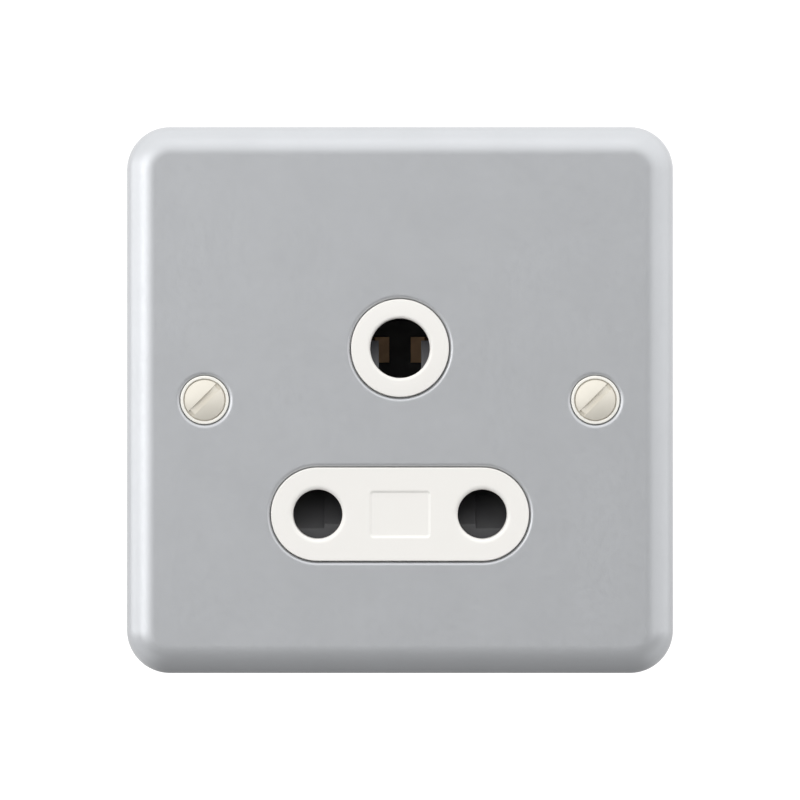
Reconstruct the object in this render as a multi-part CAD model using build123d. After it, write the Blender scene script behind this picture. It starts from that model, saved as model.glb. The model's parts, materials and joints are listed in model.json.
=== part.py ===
from build123d import *
import os

# Single 15 A socket outlet for three round pins, with a shutter, on a pressed steel plate.
# Millimetres. X to the right, Z up, and the front looks along -Y.
# The origin is midway between the two fixing screws, on the plane of the plate's rear rim.
# Depths are counted rearwards from the plate's front face.

# Pressed steel plate
plate_side = 84.6
plate_depth = 9.5
sheet = 1.2
plate_corner_radius = 6.7
plate_edge_radius = 3.9
aperture_gap = 0.15
aperture_edge = 0.3

# Fixing screws and the dimples they sit in
fixing_centres = 60.3
fixing_thread_radius = 1.75
fixing_neck_radius = 1.4
fixing_length = 25.0
fixing_flange_radius = 3.9
fixing_flange_thickness = 0.7
fixing_dome_radius = 3.225
fixing_dome_height = 0.85
fixing_slot_width = 0.95
fixing_slot_angle = 45
dimple_gap = 0.15
dimple_depth = 0.75
dimple_hole_radius = 2.0
washer_radius = 3.75
washer_thickness = 0.8
washer_gap = 0.1
neck_length = 2.7

# Round pins of the plug that fits, and the holes for them
earth_pin_radius = 4.355
line_pin_radius = 3.53
line_pin_centres = 25.4
earth_to_line = 28.6
earth_height = 8.0
earth_hole_radius = 4.6
line_hole_radius = 3.8
earth_ring_radius = 7.55
line_boss_radius = 7.2
insert_proud = 0.15
insert_edge = 0.2
earth_rim = 0.5
line_rim = 0.4
panel_width = 9.15
panel_height = 7.05
panel_depth = 0.18
panel_corner_radius = 0.5

# Mouldings
housing_width = 48.0
shoulder_width = 24.0
shoulder_height = 10.0
housing_corner_radius = 3.0
flange_thickness = 2.4
chamber_depth = 7.4
wall = 1.6
inner_wall = 1.4
skirt_depth = 13.5
pocket_depth = 11.0
tower_depth = 20.6
pocket_gap = 0.3
tongue_width = 16.0
tongue_depth = 1.2
tongue_thickness = 0.9
tongue_gap = 0.15
rib_depth = 11.0
pocket_edge = 0.5
pocket_corner_radius = 1.0
skirt_edge = 0.4
tower_draft = 1
funnel = 0.8

# Shutter, moved down by the pins
shutter_gap = 0.15
guide_gap = 0.3
arm_gap = 6.6
arm_width = 3.0
leg_thickness = 2.45
arm_thickness = 4.85
arm_ramp_depth = 3.5
arm_ramp_low = 2.9
arm_ramp_high = 1.24
bridge_top = 6.0
bridge_height = 3.5
flag_half_width = 4.5
cover_margin = 0.25
flag_skirt = 0.5
flag_ramp_depth = 5.45
flag_depth = 6.6
flag_wall = 1.2
ledge_drop = 2.3
inner_ledge_drop = 1.65
ledge_step = 0.95
tie_bar_height = 3.9
opening_clearance = 0.42
guide_width = 1.2
stop_width = 2.3
stop_height = 1.7

# Shutter spring
spring_radius = 2.0
spring_wire = 0.4
spring_sides = 6
spring_turns = 8
spring_length = 12.5
spring_axis_depth = 6.0
spring_end_gap = 0.05
peg_radius = 1.25
peg_length = 1.5
post_height = 2.5
post_half_width = 2.7
post_front_gap = 0.6

# Folded brass contacts and their steel clips
strip = 0.8
clip_strip = 0.5
bend_radius = 0.4
mouth_flare = 0.7
mouth_length = 2.0
line_leaf_half_gap = 3.4
line_leaf_length = 9.8
line_leaf_rise = 2.0
line_clip_length = 4.0
earth_leaf_half_gap = 4.2
earth_leaf_length = 17.8
earth_leaf_half_height = 2.05
earth_foot_gap = 3.4
earth_saddle_length = 6.0
earth_saddle_gap = 0.65
earth_clip_length = 4.0
pin_clearance = 0.25
contact_inset = 0.2
earth_contact_inset = 1.0
tail_half_width = 2.6
tail_inset = 0.7

# Terminals
terminal_width = 8.0
line_terminal_height = 8.5
earth_terminal_height = 8.0
terminal_depth = 8.5
terminal_gap = 0.8
wire_bore_radius = 2.4
wire_bore_wall = 1.1
wire_window_radius = 3.2
terminal_screw_radius = 2.0
terminal_hole_radius = 2.05
terminal_head_radius = 2.8
terminal_head_height = 2.0
terminal_head_gap = 0.5
terminal_slot_width = 0.9
terminal_slot_depth = 1.1
driver_hole_radius = 3.3
block_edge = 0.3

# Assembly screws, pillars and the earth strap
assembly_inset = 5.6
assembly_z = 4.0
pillar_radius = 2.6
pillar_length = 5.6
pillar_bore_radius = 1.55
pillar_bore_depth = 4.8
pillar_gap = 0.2
tube_wall = 1.5
assembly_screw_radius = 1.5
assembly_hole_radius = 1.7
assembly_head_radius = 2.75
assembly_head_height = 2.0
assembly_engagement = 4.0
screw_tube_radius = 3.6
strap_thickness = 0.6
strap_width = 5.0
strap_elbow_x = 8.0
strap_tab_length = 9.0
strap_slot_gap = 0.2
strap_bend_radius = 0.15

# Places along X and heights along Z that the pieces share
assembly_x = housing_width / 2 - assembly_inset
line_x = line_pin_centres / 2
line_height = earth_height - (earth_to_line**2 - line_x**2) ** 0.5
line_bridge_top = line_height - line_pin_radius - pin_clearance
line_bridge_bottom = line_bridge_top - strip
line_terminal_top = line_bridge_bottom - terminal_gap
line_terminal_bottom = line_terminal_top - line_terminal_height
earth_bridge_bottom = earth_height + earth_pin_radius + earth_saddle_gap
earth_bridge_top = earth_bridge_bottom + strip
earth_terminal_bottom = earth_bridge_top + terminal_gap
earth_terminal_top = earth_terminal_bottom + earth_terminal_height
housing_bottom = line_terminal_bottom - pocket_gap - wall
housing_top = earth_terminal_top + pocket_gap + wall

# Depths behind the plate's face that the pieces share
flange_back = sheet + flange_thickness
joint_depth = flange_back + chamber_depth
pocket_floor = joint_depth + pocket_depth
pocket_back = pocket_floor + inner_wall
skirt_back = joint_depth + skirt_depth
tower_floor = joint_depth + tower_depth - inner_wall
tower_back = joint_depth + tower_depth
shutter_front = flange_back + shutter_gap
line_contact_front = joint_depth + contact_inset
earth_contact_front = joint_depth + earth_contact_inset
line_tail_front = joint_depth + tail_inset
line_terminal_front = line_tail_front + strip
earth_tail_front = earth_contact_front + contact_inset
earth_terminal_front = earth_tail_front + strip

# Heights of the shutter at rest, held up by its spring
bridge_high = earth_height - bridge_top
bridge_low = bridge_high - bridge_height
flag_high = line_height + line_hole_radius + cover_margin
flag_low = line_height - line_hole_radius - flag_skirt
shutter_travel = line_pin_radius + line_hole_radius + cover_margin + opening_clearance
post_top = bridge_low - spring_length


def at(depth):
    """Sketch plane across the socket at a depth, with X to the right and Z up."""
    return Plane.XZ.offset(plate_depth - depth)


def slab(outline, front, back):
    """Outline in X and Z, thickened from one depth to another."""
    return extrude(at(back) * outline, amount=back - front)


def block(left, right, low, high, front, back, corner=0.0):
    """Rectangular slab between given sides."""
    shape = Rectangle(right - left, high - low)
    if corner > 0:
        shape = fillet(shape.vertices(), corner)
    return slab(Pos((left + right) / 2, (low + high) / 2) * shape, front, back)


def rod(x, z, radius, front, back):
    return slab(Pos(x, z) * Circle(radius), front, back)


def turned(x, z, profile):
    """Revolve a closed line of radius and depth points about the pin direction."""
    points = [(radius, depth - plate_depth) for radius, depth in profile]
    return Pos(x, 0, z) * revolve(make_face(Polyline(*points, close=True)), Axis.Y)


def across(profile, left, right):
    """Closed line of depth and height points, drawn out along X."""
    points = [(depth - plate_depth, height) for depth, height in profile]
    face = make_face(Polyline(*points, close=True))
    return extrude(Plane.YZ.offset(left) * face, amount=right - left)


def upward(profile, low, high):
    """Closed line of X and depth points, drawn out along Z."""
    points = [(x, depth - plate_depth) for x, depth in profile]
    face = make_face(Polyline(*points, close=True))
    return extrude(Plane.XY.offset(low) * face, amount=high - low)


def upright_rod(x, depth, radius, low, high):
    return Pos(x, depth - plate_depth, low) * Cylinder(
        radius, high - low, align=(Align.CENTER, Align.CENTER, Align.MIN)
    )


def wire_funnel(x, depth, mouth, way):
    """Lead-in of a wire window, narrowing upwards for way 1 and downwards for way -1."""
    radii = (wire_window_radius + funnel, wire_window_radius)
    cone = Cone(*radii, funnel, align=(Align.CENTER, Align.CENTER, Align.MIN))
    if way < 0:
        cone = mirror(cone, Plane.XY)
    return Pos(x, depth - plate_depth, mouth) * cone


def mirrored(part):
    return mirror(part, Plane.YZ)


def edges_at(part, depth):
    return part.edges().filter_by_position(
        Axis.Y, depth - plate_depth - 0.001, depth - plate_depth + 0.001
    )


def nearest_edge(part, direction, x, depth, height):
    """Of the edges along a direction, the one closest to a point."""
    point = Vector(x, depth - plate_depth, height)
    return part.edges().filter_by(direction).sort_by_distance(point)[0]


def line_oblong(radius):
    """Round-ended shape whose ends are centred on the two line pins."""
    return Pos(0, line_height) * SlotCenterToCenter(line_pin_centres, 2 * radius)


def housing_outline(inset=0.0):
    """Outline of both mouldings: square at the bottom, with sloping shoulders."""
    side = housing_width / 2
    shoulder = shoulder_width / 2
    points = [
        (-side, housing_bottom),
        (side, housing_bottom),
        (side, shoulder_height),
        (shoulder, housing_top),
        (-shoulder, housing_top),
        (-side, shoulder_height),
    ]
    outline = make_face(Polyline(*points, close=True))
    outline = fillet(outline.vertices(), housing_corner_radius)
    if inset > 0:
        outline = offset(outline, -inset)
    return outline


def make_front_plate():
    side = RectangleRounded(plate_side, plate_side, plate_corner_radius)
    plate = slab(side, 0, plate_depth)
    plate = fillet(edges_at(plate, 0), plate_edge_radius)
    inner_radius = plate_corner_radius - sheet
    inside = RectangleRounded(plate_side - 2 * sheet, plate_side - 2 * sheet, inner_radius)
    hollow = slab(inside, sheet, plate_depth)
    hollow = fillet(edges_at(hollow, sheet), plate_edge_radius - sheet)
    plate -= hollow
    dimple_radius = fixing_flange_radius + dimple_gap
    for x in (-fixing_centres / 2, fixing_centres / 2):
        plate += rod(x, 0, dimple_radius + sheet - dimple_gap, sheet, sheet + dimple_depth)
        plate -= rod(x, 0, dimple_radius, 0, dimple_depth)
        plate -= rod(x, 0, dimple_hole_radius, 0, sheet + dimple_depth)
    ring = Pos(0, earth_height) * Circle(earth_ring_radius + aperture_gap)
    plate -= slab(ring, 0, sheet)
    plate -= slab(line_oblong(line_boss_radius + aperture_gap), 0, sheet)
    inner_edges = [
        edge
        for edge in edges_at(plate, 0)
        if max(abs(edge.bounding_box().max.X), abs(edge.bounding_box().min.X))
        < plate_side / 2 - plate_edge_radius - 0.01
        and abs(edge.center().Z) < plate_side / 2 - plate_edge_radius - 0.01
    ]
    return chamfer(inner_edges, aperture_edge)


def make_pillar():
    """Threaded pillar welded behind the plate."""
    back = sheet + pillar_length
    pillar = rod(assembly_x, assembly_z, pillar_radius, sheet, back)
    pillar = chamfer(edges_at(pillar, back), block_edge)
    return pillar - rod(assembly_x, assembly_z, pillar_bore_radius, back - pillar_bore_depth, back)


def make_front_moulding():
    """White front: flange behind the plate, raised ring and oblong, and the shutter's chamber."""
    ring = Pos(0, earth_height) * Circle(earth_ring_radius)
    ring = slab(ring, -insert_proud, sheet)
    ring = chamfer(edges_at(ring, -insert_proud), insert_edge)
    oblong = slab(line_oblong(line_boss_radius), -insert_proud, sheet)
    oblong = chamfer(edges_at(oblong, -insert_proud), insert_edge)
    moulding = slab(housing_outline(), sheet, flange_back) + ring + oblong
    moulding += slab(housing_outline() - housing_outline(wall), flange_back, joint_depth)
    tube_radius = pillar_radius + pillar_gap + tube_wall
    guide_side = line_x + flag_half_width + guide_gap
    guide_low = flag_low - shutter_travel - guide_gap
    stop_low = flag_high + guide_gap
    for side in (-1, 1):
        x = side * assembly_x
        moulding += rod(x, assembly_z, tube_radius, flange_back, joint_depth)
        moulding -= rod(x, assembly_z, pillar_radius + pillar_gap, sheet, joint_depth)
    guide = block(
        guide_side, guide_side + guide_width, guide_low, stop_low + stop_height,
        flange_back, joint_depth - guide_gap,
    )
    stop = block(
        guide_side - stop_width, guide_side, stop_low, stop_low + stop_height,
        flange_back, joint_depth - guide_gap,
    )
    moulding += guide + stop + mirrored(guide) + mirrored(stop)
    holes = [(0, earth_height, earth_hole_radius, earth_rim)]
    holes += [(x, line_height, line_hole_radius, line_rim) for x in (-line_x, line_x)]
    for x, z, radius, rim in holes:
        # A hole with a lead-in for the pin
        front = -insert_proud
        profile = [(0, front), (radius + rim, front), (radius, front + rim)]
        moulding -= turned(x, z, profile + [(radius, flange_back), (0, flange_back)])
    panel = RectangleRounded(panel_width, panel_height, panel_corner_radius)
    moulding -= slab(Pos(0, line_height) * panel, -insert_proud, panel_depth - insert_proud)
    clearance = fixing_flange_radius + sheet + pocket_gap
    for x in (-fixing_centres / 2, fixing_centres / 2):
        moulding -= rod(x, 0, clearance, sheet, joint_depth)
    return moulding


def pocket_box(left, right, low, high):
    """Outer form of a pocket, with round upper corners and a bevel round its rear."""
    box = block(left, right, low, high, joint_depth, pocket_back)
    corners = box.edges().filter_by(Axis.Y).sort_by(Axis.Z)[-2:]
    box = fillet(corners, pocket_corner_radius)
    return chamfer(edges_at(box, pocket_back), pocket_edge)


def make_base_moulding():
    """Dark rear housing, open at the back between its pockets, with the earth tower."""
    base = slab(housing_outline() - housing_outline(wall), joint_depth, skirt_back)
    base = chamfer(edges_at(base, skirt_back), skirt_edge)
    base += slab(housing_outline(), joint_depth, joint_depth + wall)
    line_half = line_leaf_half_gap + strip + mouth_flare + inner_wall + pocket_gap / 2
    line_pocket = line_half - inner_wall
    line_high = line_height + line_pin_radius + pin_clearance + clip_strip + pocket_gap * 2
    earth_half = earth_leaf_half_gap + strip + mouth_flare + inner_wall + pocket_gap / 2
    earth_pocket = earth_half - inner_wall
    earth_low = earth_height - earth_pin_radius - pin_clearance - clip_strip - pocket_gap
    earth_high = earth_bridge_top + pocket_gap
    tower_high = earth_height + earth_pin_radius + pin_clearance
    rib_back = joint_depth + rib_depth
    # Outer forms
    for x in (-line_x, line_x):
        base += pocket_box(
            x - line_half, x + line_half, housing_bottom + wall / 2, line_high + inner_wall,
        )
    base += pocket_box(-earth_half, earth_half, earth_low - inner_wall, housing_top - wall / 2)
    outline = Rectangle(2 * earth_half, tower_high - earth_low + 2 * inner_wall)
    outline = Pos(0, (tower_high + earth_low) / 2) * fillet(outline.vertices(), inner_wall)
    tower = extrude(at(pocket_floor) * outline, amount=pocket_floor - tower_back, taper=tower_draft)
    base += chamfer(edges_at(tower, tower_back), pocket_edge)
    for side in (-1, 1):
        base += rod(side * assembly_x, assembly_z, screw_tube_radius, joint_depth, pocket_back)
    # Stiffening ribs between the pockets, the screw tubes and the skirt
    half_rib = inner_wall / 2
    for side in (-1, 1):
        x = side * assembly_x
        inner, outer = sorted((side * earth_half, side * (housing_width / 2 - wall / 2)))
        base += block(inner, outer, assembly_z - half_rib, assembly_z + half_rib, joint_depth, rib_back)
        base += block(x - half_rib, x + half_rib, line_high, assembly_z, joint_depth, rib_back)
    base += block(
        -half_rib, half_rib, housing_bottom + wall / 2, earth_low, joint_depth, rib_back,
    )
    # Tongues that register the front moulding
    for edge, inward in ((housing_bottom, 1), (housing_top, -1)):
        near = edge + inward * (wall + tongue_gap)
        far = near + inward * tongue_thickness
        base += block(
            -tongue_width / 2, tongue_width / 2, min(near, far), max(near, far),
            joint_depth - tongue_depth, joint_depth,
        )
    # Rails behind the shutter's legs, and the post that holds the spring
    rail_front = shutter_front + leg_thickness + guide_gap
    rail_low = flag_low - shutter_travel
    rail_high = bridge_low - shutter_travel - guide_gap
    for side in (-1, 1):
        middle = side * (arm_gap / 2 + arm_width / 2)
        base += block(
            middle - half_rib, middle + half_rib, rail_low, rail_high, rail_front, joint_depth,
        )
    base += block(
        -post_half_width, post_half_width, post_top - post_height, post_top,
        flange_back + post_front_gap, joint_depth,
    )
    base += upright_rod(0, spring_axis_depth, peg_radius, post_top, post_top + peg_length)
    # Line pockets, each for a contact and its terminal
    for x in (-line_x, line_x):
        terminal_half = terminal_width / 2 + pocket_gap
        base -= block(
            x - line_pocket, x + line_pocket, line_bridge_bottom - pocket_gap * 2, line_high,
            joint_depth, pocket_floor,
        )
        base -= block(
            x - terminal_half, x + terminal_half,
            line_terminal_bottom - pocket_gap, line_bridge_bottom, joint_depth, pocket_floor,
        )
        screw_z = (line_terminal_top + line_terminal_bottom) / 2
        base -= rod(x, screw_z, driver_hole_radius, pocket_floor, pocket_back)
        wire_depth = line_terminal_front + wire_bore_wall + wire_bore_radius
        base -= upright_rod(
            x, wire_depth, wire_window_radius, housing_bottom, line_terminal_bottom,
        )
        base -= wire_funnel(x, wire_depth, housing_bottom, 1)
    # Earth pocket, its tower and the well of the earth terminal
    base -= block(-earth_pocket, earth_pocket, earth_low, earth_high, joint_depth, pocket_floor)
    base -= block(-earth_pocket, earth_pocket, earth_low, tower_high, joint_depth, tower_floor)
    terminal_half = terminal_width / 2 + pocket_gap
    base -= block(
        -terminal_half, terminal_half + strap_thickness,
        earth_bridge_top, earth_terminal_top + pocket_gap, joint_depth, pocket_floor,
    )
    screw_z = (earth_terminal_top + earth_terminal_bottom) / 2
    base -= rod(0, screw_z, driver_hole_radius, pocket_floor, pocket_back)
    wire_depth = earth_terminal_front + wire_bore_wall + wire_bore_radius
    base -= upright_rod(0, wire_depth, wire_window_radius, earth_terminal_top, housing_top)
    base -= wire_funnel(0, wire_depth, housing_top, -1)
    base -= block(
        terminal_width / 2 - strap_slot_gap / 2,
        terminal_width / 2 + strap_thickness + strap_slot_gap,
        screw_z - strap_width / 2 - strap_slot_gap, screw_z + strap_width / 2 + strap_slot_gap,
        pocket_floor, pocket_back,
    )
    for side in (-1, 1):
        base -= rod(side * assembly_x, assembly_z, assembly_hole_radius, joint_depth, pocket_back)
    return base


def make_flag(side):
    """Ramp that covers one line hole, with a step towards the middle and two webs behind it."""
    x = side * line_x
    back = shutter_front + flag_depth
    step = x - side * ledge_step
    outer = x + side * flag_half_width
    inner = x - side * flag_half_width
    slope = flag_ramp_depth / (ledge_drop + line_hole_radius + cover_margin)
    flag = None
    for near, far, drop in ((step, outer, ledge_drop), (inner, step, inner_ledge_drop)):
        low = line_height - drop
        top_depth = shutter_front + slope * (flag_high - low)
        profile = [
            (shutter_front, flag_low),
            (shutter_front, low),
            (top_depth, flag_high),
            (back, flag_high),
            (back, flag_high - flag_wall),
            (shutter_front + leg_thickness, low - flag_wall),
            (shutter_front + leg_thickness, flag_low),
        ]
        piece = across(profile, min(near, far), max(near, far))
        flag = piece if flag is None else flag + piece
    for near, far, drop in (
        (outer, outer - side * flag_wall, ledge_drop),
        (inner, inner + side * flag_wall, inner_ledge_drop),
    ):
        low = line_height - drop
        top_depth = shutter_front + slope * (flag_high - low)
        web = [
            (shutter_front, flag_low),
            (shutter_front, low),
            (top_depth, flag_high),
            (back, flag_high),
            (back, flag_low),
        ]
        flag += across(web, min(near, far), max(near, far))
    return flag


def make_shutter():
    """One moulding: two earth arms, a bridge, two legs, and a flag for each line hole."""
    arm_inner = arm_gap / 2
    arm_outer = arm_inner + arm_width
    arm_back = shutter_front + arm_thickness
    ramp_low = earth_height - arm_ramp_low
    ramp_high = earth_height + arm_ramp_high
    ramp_back = shutter_front + arm_ramp_depth
    arm = across(
        [
            (shutter_front, bridge_low),
            (shutter_front, ramp_low),
            (ramp_back, ramp_high),
            (arm_back, ramp_high),
            (arm_back, bridge_low),
        ],
        arm_inner,
        arm_outer,
    )
    leg = block(
        arm_inner, arm_outer, flag_low, bridge_high, shutter_front, shutter_front + leg_thickness,
    )
    half = arm + leg
    shutter = half + mirrored(half)
    shutter += block(-arm_inner, arm_inner, bridge_low, bridge_high, shutter_front, arm_back)
    shutter += upright_rod(0, spring_axis_depth, peg_radius, bridge_low - peg_length, bridge_low)
    flag_inner = line_x - flag_half_width
    shutter += block(
        -flag_inner, flag_inner, flag_low, flag_low + tie_bar_height,
        shutter_front, shutter_front + leg_thickness,
    )
    return shutter + make_flag(1) + make_flag(-1)


def make_spring():
    """Coil held between the shutter's bridge and the post on the rear housing."""
    coil_radius = spring_radius - spring_wire / 2
    low = post_top + spring_wire / 2 + spring_end_gap
    height = spring_length - spring_wire - 2 * spring_end_gap
    path = Helix(height / spring_turns, height, coil_radius)
    section = Plane(path @ 0, z_dir=path % 0) * RegularPolygon(spring_wire / 2, spring_sides)
    coil = sweep(section, path, is_frenet=True)
    return Pos(0, spring_axis_depth - plate_depth, low) * coil


def leaf(x_inner, flare_front, back, low, high):
    """One contact leaf on the right of its pin, with a flared mouth."""
    inner = [
        (x_inner + mouth_flare, flare_front),
        (x_inner, flare_front + mouth_length),
        (x_inner, back),
    ]
    outer = [(x + strip, depth) for x, depth in reversed(inner)]
    return upward(inner + outer, low, high)


def folded_strip(half, thickness, closed, free):
    """Outline of a strip folded to a U about X = 0, from its closed end to its free end."""
    inside = closed + thickness if free > closed else closed - thickness
    section = None
    for side, end, radius in (
        (half, closed, bend_radius + thickness),
        (half - thickness, inside, bend_radius),
    ):
        shape = Pos(0, (end + free) / 2) * Rectangle(2 * side, abs(free - end))
        corners = [v for v in shape.vertices() if abs(v.Y - end) < 0.001]
        shape = fillet(corners, radius)
        section = shape if section is None else section - shape
    return section


def make_line_contact():
    """Folded U about the line pin, drawn about X = 0, with a tail in front of the terminal."""
    half = line_leaf_half_gap + strip
    back = line_contact_front + line_leaf_length
    straight = line_contact_front + mouth_length + contact_inset
    leaf_high = line_height + line_leaf_rise
    side = leaf(
        line_leaf_half_gap, line_contact_front, back, line_height - line_leaf_rise, leaf_high,
    )
    contact = side + mirrored(side)
    contact += slab(folded_strip(half, strip, line_bridge_bottom, leaf_high), straight, back)
    tail = block(
        -tail_half_width, tail_half_width, line_bridge_bottom, line_bridge_top,
        line_tail_front, straight + strip,
    )
    tail += block(
        -tail_half_width, tail_half_width, line_terminal_bottom + terminal_gap * 2,
        line_bridge_top, line_tail_front, line_terminal_front,
    )
    fold = nearest_edge(tail, Axis.X, 0, line_tail_front, line_bridge_top)
    tail = fillet(fold, bend_radius + strip)
    fold = nearest_edge(tail, Axis.X, 0, line_terminal_front, line_bridge_bottom)
    tail = fillet(fold, bend_radius)
    return contact + tail


def make_line_clip():
    """Steel clip over the top of the line contact."""
    outer = line_leaf_half_gap + strip + clip_strip
    low = line_height - line_leaf_rise
    under = line_height + line_pin_radius + pin_clearance
    front = line_contact_front + mouth_length + contact_inset * 2
    back = front + line_clip_length
    return slab(folded_strip(outer, clip_strip, under + clip_strip, low), front, back)


def make_earth_contact():
    """Two long leaves with feet at the rear, a saddle over the pin and a tail on the terminal."""
    half = earth_leaf_half_gap + strip
    back = earth_contact_front + earth_leaf_length
    low = earth_height - earth_leaf_half_height
    high = earth_height + earth_leaf_half_height
    saddle_front = earth_contact_front + mouth_length * 2
    saddle_back = saddle_front + earth_saddle_length
    side = leaf(earth_leaf_half_gap, earth_contact_front, back, low, high)
    side += block(earth_foot_gap / 2, half, low, high, back - strip, back)
    fold = nearest_edge(side, Axis.Z, half, back, earth_height)
    side = fillet(fold, bend_radius + strip)
    fold = nearest_edge(side, Axis.Z, earth_leaf_half_gap, back - strip, earth_height)
    side = fillet(fold, bend_radius)
    contact = side + mirrored(side)
    contact += slab(folded_strip(half, strip, earth_bridge_top, low), saddle_front, saddle_back)
    tail = block(
        -tail_half_width, tail_half_width, earth_bridge_bottom, earth_bridge_top,
        earth_tail_front, saddle_front + strip,
    )
    tail += block(
        -tail_half_width, tail_half_width, earth_bridge_bottom,
        earth_terminal_top - terminal_gap, earth_tail_front, earth_terminal_front,
    )
    fold = nearest_edge(tail, Axis.X, 0, earth_tail_front, earth_bridge_bottom)
    tail = fillet(fold, bend_radius + strip)
    fold = nearest_edge(tail, Axis.X, 0, earth_terminal_front, earth_bridge_top)
    tail = fillet(fold, bend_radius)
    return contact + tail


def make_earth_clip():
    """Steel clip under the earth contact, inside the tower."""
    outer = earth_leaf_half_gap + strip + clip_strip
    over = earth_height - earth_pin_radius - pin_clearance
    high = earth_height + earth_leaf_half_height
    back = earth_contact_front + earth_leaf_length - strip * 2
    front = back - earth_clip_length
    return slab(folded_strip(outer, clip_strip, over - clip_strip, high), front, back)


def make_terminal(low, high, front):
    """Brass block about X = 0 with a wire bore along Z and a screw hole from the rear."""
    half = terminal_width / 2
    back = front + terminal_depth
    terminal = block(-half, half, low, high, front, back)
    terminal = chamfer(terminal.edges().filter_by(Axis.Z), block_edge)
    bore_depth = front + wire_bore_wall + wire_bore_radius
    terminal -= upright_rod(0, bore_depth, wire_bore_radius, low, high)
    return terminal - rod(0, (low + high) / 2, terminal_hole_radius, bore_depth, back)


def make_terminal_screw(low, high, front):
    """Cheese head screw about X = 0, backed off until its tip is clear of the wire bore."""
    middle = (low + high) / 2
    tip = front + wire_bore_wall + 2 * wire_bore_radius + strap_slot_gap
    seat = front + terminal_depth + terminal_head_gap
    top = seat + terminal_head_height
    screw = turned(
        0,
        middle,
        [
            (0, tip),
            (terminal_screw_radius - block_edge, tip),
            (terminal_screw_radius, tip + block_edge),
            (terminal_screw_radius, seat),
            (terminal_head_radius, seat),
            (terminal_head_radius, top - block_edge),
            (terminal_head_radius - block_edge, top),
            (0, top),
        ],
    )
    slot = Pos(0, middle) * Rectangle(2 * terminal_head_radius + 1, terminal_slot_width)
    return screw - slab(slot, top - terminal_slot_depth, top)


def make_earth_strap():
    """Strip on the rear of the pockets, with a tab bent down beside the earth terminal."""
    middle = (earth_terminal_top + earth_terminal_bottom) / 2
    side = terminal_width / 2
    back = pocket_back + strap_thickness
    centre = ((assembly_x + strap_elbow_x) / 2, (assembly_z + middle) / 2)
    shape = SlotCenterPoint(centre, (strap_elbow_x, middle), strap_width)
    shape += Pos(assembly_x, assembly_z) * Circle(screw_tube_radius)
    end = Rectangle(strap_elbow_x - side, strap_width, align=(Align.MIN, Align.CENTER))
    shape += Pos(side, middle) * end
    shape -= Pos(assembly_x, assembly_z) * Circle(assembly_hole_radius)
    strap = slab(shape, pocket_back, back)
    strap += block(
        side, side + strap_thickness, middle - strap_width / 2, middle + strap_width / 2,
        back - strap_tab_length, back,
    )
    fold = nearest_edge(strap, Axis.Z, side, back, middle)
    strap = fillet(fold, strap_bend_radius + strap_thickness)
    fold = nearest_edge(strap, Axis.Z, side + strap_thickness, pocket_back, middle)
    return fillet(fold, strap_bend_radius)


def make_assembly_screw(side, seat):
    """Pan head screw from the rear into the plate's pillar."""
    x = side * assembly_x
    tip = sheet + pillar_length - assembly_engagement
    top = seat + assembly_head_height
    screw = turned(
        x,
        assembly_z,
        [
            (0, tip),
            (assembly_screw_radius - block_edge, tip),
            (assembly_screw_radius, tip + block_edge),
            (assembly_screw_radius, seat),
            (assembly_head_radius, seat),
            (assembly_head_radius, top - assembly_head_height / 2),
            (assembly_head_radius - assembly_head_height / 2, top),
            (0, top),
        ],
    )
    for turn in (0, 90):
        bar = Rot(0, 0, turn) * Rectangle(2 * assembly_screw_radius, terminal_slot_width)
        screw -= slab(Pos(x, assembly_z) * bar, top - terminal_slot_depth, top)
    return screw


def make_fixing_screw(x):
    """Captive screw: a flange in the plate's dimple, a low dome, a neck and a thread."""
    seat = dimple_depth
    rim = seat - fixing_flange_thickness
    crown = rim - fixing_dome_height
    neck_end = seat + neck_length
    tip = seat + fixing_length
    # The dome is the part of a ball that rises above the flange
    ball = (fixing_dome_radius**2 + fixing_dome_height**2) / (2 * fixing_dome_height)
    screw = turned(
        x,
        0,
        [
            (0, rim),
            (fixing_flange_radius - block_edge / 2, rim),
            (fixing_flange_radius, rim + block_edge / 2),
            (fixing_flange_radius, seat),
            (fixing_neck_radius, seat),
            (fixing_neck_radius, neck_end),
            (fixing_thread_radius, neck_end + block_edge),
            (fixing_thread_radius, tip - block_edge),
            (fixing_thread_radius - block_edge, tip),
            (0, tip),
        ],
    )
    dome = Pos(x, crown + ball - plate_depth, 0) * Sphere(ball)
    dome &= rod(x, 0, fixing_flange_radius, crown - 1, rim)
    screw += dome
    slot = Rot(0, 0, fixing_slot_angle) * Rectangle(3 * fixing_dome_radius, fixing_slot_width)
    return screw - slab(Pos(x, 0) * slot, crown - 1, rim)


def make_retaining_washer(x):
    front = sheet + dimple_depth
    back = front + washer_thickness
    outline = Circle(washer_radius) - Circle(fixing_neck_radius + washer_gap)
    return slab(Pos(x, 0) * outline, front, back)


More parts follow.
